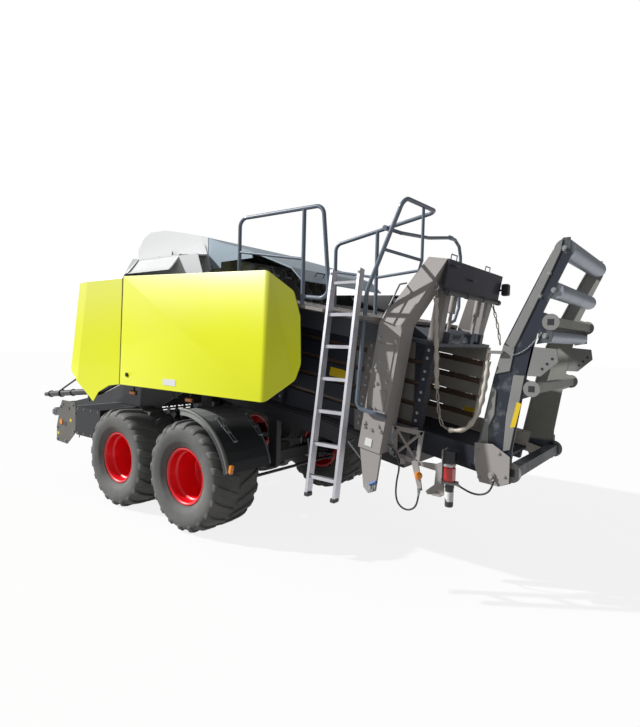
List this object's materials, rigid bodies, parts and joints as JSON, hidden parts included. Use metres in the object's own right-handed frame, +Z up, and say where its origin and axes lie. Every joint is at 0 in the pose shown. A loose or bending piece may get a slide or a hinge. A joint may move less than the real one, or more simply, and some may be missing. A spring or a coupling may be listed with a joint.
{
  "type": "large square baler",
  "caption": "Towed large square baler on tandem flotation wheels: railed bale chamber, folded chute, pick-up, drawbar, panels, deck and ladder.",
  "frame": {"origin": "on the ground under the middle of the machine's overall length, on its centre line", "axes": "+X forwards to the tractor, +Y to the machine's left, +Z up"},
  "size_m": [9.8394, 2.96, 3.44],
  "materials": {
    "tyre": "matt",
    "rim": "satin",
    "green": "gloss",
    "white": "gloss",
    "grey": "satin",
    "dark": "satin",
    "steel": "satin",
    "zinc": "satin",
    "rail": "satin",
    "ladder": "satin",
    "plastic": "matt",
    "cast": "satin"
  },
  "bodies": {
    "baler": {"hood": "white", "front_hood": "white", "main_frame": "grey", "bale_chamber": "grey", "chamber_roof": "grey", "density_ring": "grey", "knotter_stack": "grey", "twine_box_left": "grey", "twine_box_right": "grey", "drawbar": "grey", "front_axle": "grey", "rear_axle": "grey", "shaft_holder": "grey", "ring_cover": "dark", "hitch_eye": "zinc", "platform": "zinc", "leaf_springs": "dark", "jack_tube": "dark", "railing_front": "rail", "railing_rear": "rail", "ladder": "ladder", "gearbox": "cast"},
    "wheel_front_left": {"tyre_front_left": "tyre", "rim_front_left": "rim"},
    "wheel_front_right": {"tyre_front_right": "tyre", "rim_front_right": "rim"},
    "wheel_rear_left": {"tyre_rear_left": "tyre", "rim_rear_left": "rim"},
    "wheel_rear_right": {"tyre_rear_right": "tyre", "rim_rear_right": "rim"},
    "steering_left": {"knuckle_left": "grey", "mudguard_left": "plastic"},
    "steering_right": {"knuckle_right": "grey", "mudguard_right": "plastic"},
    "steering_rod": {"tie_rod": "grey"},
    "panel_rear_left": {"side_panel_left": "green"},
    "panel_rear_right": {"side_panel_right": "green"},
    "panel_front_left": {"front_panel_left": "green"},
    "panel_front_right": {"front_panel_right": "green"},
    "knotter_cover": {"knotter_hood": "white"},
    "flywheel_body": {"flywheel": "cast"},
    "cardan": {"cardan_shaft": "plastic"},
    "pto": {"pto_shaft": "plastic"},
    "rotor": {"feed_rotor": "zinc"},
    "pickup": {"pickup_frame": "grey"},
    "reel": {"pickup_reel": "zinc"},
    "guard": {"crop_guard": "grey"},
    "guard_roller": {"crop_roller": "zinc"},
    "chute": {"bale_chute": "grey"},
    "roller_1": {"chute_roller_1": "steel"},
    "roller_2": {"chute_roller_2": "steel"},
    "roller_3": {"chute_roller_3": "steel"},
    "jack": {"jack_leg": "zinc"}
  },
  "joints": [
    {"name": "wheel_spin_front_left", "type": "hinge", "parent": "baler", "child": "wheel_front_left", "pos_m": [-0.1025, 1.17, 0.595], "axis": [0, 1, 0], "continuous": true},
    {"name": "steer_left", "type": "hinge", "parent": "baler", "child": "steering_left", "pos_m": [-1.3825, 0.8, 0.595], "axis": [0, 0, 1], "range_deg": [-7, 7]},
    {"name": "wheel_spin_rear_left", "type": "hinge", "parent": "steering_left", "child": "wheel_rear_left", "pos_m": [-1.3825, 1.17, 0.595], "axis": [0, 1, 0], "continuous": true},
    {"name": "wheel_spin_front_right", "type": "hinge", "parent": "baler", "child": "wheel_front_right", "pos_m": [-0.1025, -1.17, 0.595], "axis": [0, 1, 0], "continuous": true},
    {"name": "steer_right", "type": "hinge", "parent": "baler", "child": "steering_right", "pos_m": [-1.3825, -0.8, 0.595], "axis": [0, 0, 1], "range_deg": [-7, 7]},
    {"name": "wheel_spin_rear_right", "type": "hinge", "parent": "steering_right", "child": "wheel_rear_right", "pos_m": [-1.3825, -1.17, 0.595], "axis": [0, 1, 0], "continuous": true},
    {"name": "tie_rod_turn", "type": "hinge", "parent": "steering_left", "child": "steering_rod", "pos_m": [-1.6525, 0.8, 0.5], "axis": [0, 0, 1], "range_deg": [-7, 7]},
    {"name": "side_panel_left_open", "type": "hinge", "parent": "baler", "child": "panel_rear_left", "pos_m": [-1.3825, 1.33599, 2.7262], "axis": [0.9994, -0.001, 0.0335], "range_deg": [0, 75]},
    {"name": "side_panel_right_open", "type": "hinge", "parent": "baler", "child": "panel_rear_right", "pos_m": [-1.3825, -1.33599, 2.7262], "axis": [-0.9994, -0.001, -0.0335], "range_deg": [0, 75]},
    {"name": "front_panel_left_open", "type": "hinge", "parent": "baler", "child": "panel_front_left", "pos_m": [1.2175, 1, 2], "axis": [0, 0, -1], "range_deg": [0, 60]},
    {"name": "front_panel_right_open", "type": "hinge", "parent": "baler", "child": "panel_front_right", "pos_m": [1.2175, -1, 2], "axis": [0, 0, 1], "range_deg": [0, 60]},
    {"name": "knotter_hood_open", "type": "hinge", "parent": "baler", "child": "knotter_cover", "pos_m": [-0.9395, 0, 3.246], "axis": [0, 1, 0], "range_deg": [0, 50]},
    {"name": "flywheel_spin", "type": "hinge", "parent": "baler", "child": "flywheel_body", "pos_m": [0.9175, 0, 1.74], "axis": [1, 0, 0], "continuous": true},
    {"name": "cardan_spin", "type": "hinge", "parent": "baler", "child": "cardan", "pos_m": [1.0575, 0, 1.74], "axis": [0.9376, 0, -0.3477], "continuous": true},
    {"name": "pto_spin", "type": "hinge", "parent": "baler", "child": "pto", "pos_m": [2.9175, 0, 1.08], "axis": [0.994, 0, -0.1093], "continuous": true},
    {"name": "feed_rotor_spin", "type": "hinge", "parent": "baler", "child": "rotor", "pos_m": [0.6675, 0, 0.85], "axis": [0, 1, 0], "continuous": true},
    {"name": "pickup_lower", "type": "hinge", "parent": "baler", "child": "pickup", "pos_m": [0.6675, 0, 0.85], "axis": [0, 1, 0], "range_deg": [0, 28]},
    {"name": "reel_spin", "type": "hinge", "parent": "pickup", "child": "reel", "pos_m": [1.5175, 0, 0.8], "axis": [0, 1, 0], "continuous": true},
    {"name": "guard_float", "type": "hinge", "parent": "pickup", "child": "guard", "pos_m": [1.4175, 0, 1.03], "axis": [0, 1, 0], "range_deg": [0, 10]},
    {"name": "guard_roller_spin", "type": "hinge", "parent": "guard", "child": "guard_roller", "pos_m": [1.9175, 0, 0.93], "axis": [0, 1, 0], "continuous": true},
    {"name": "chute_fold", "type": "hinge", "parent": "baler", "child": "chute", "pos_m": [-4.3825, 0, 1.01], "axis": [0, -1, 0], "range_deg": [0, 95]},
    {"name": "roller_1_spin", "type": "hinge", "parent": "chute", "child": "roller_1", "pos_m": [-4.8425, 0, 2.8], "axis": [0, 1, 0], "continuous": true},
    {"name": "roller_2_spin", "type": "hinge", "parent": "chute", "child": "roller_2", "pos_m": [-4.7825, 0, 2.49], "axis": [0, 1, 0], "continuous": true},
    {"name": "roller_3_spin", "type": "hinge", "parent": "chute", "child": "roller_3", "pos_m": [-4.7325, 0, 2.145], "axis": [0, 1, 0], "continuous": true},
    {"name": "jack_lift", "type": "slide", "parent": "baler", "child": "jack", "axis": [0, 0, -1], "range_m": [0, 0.12]}
  ],
  "couplings": [
    {"joint": "steer_right", "follows": "steer_left", "ratio": 1},
    {"joint": "tie_rod_turn", "follows": "steer_left", "ratio": -1},
    {"joint": "cardan_spin", "follows": "flywheel_spin", "ratio": 1},
    {"joint": "pto_spin", "follows": "flywheel_spin", "ratio": 1}
  ]
}
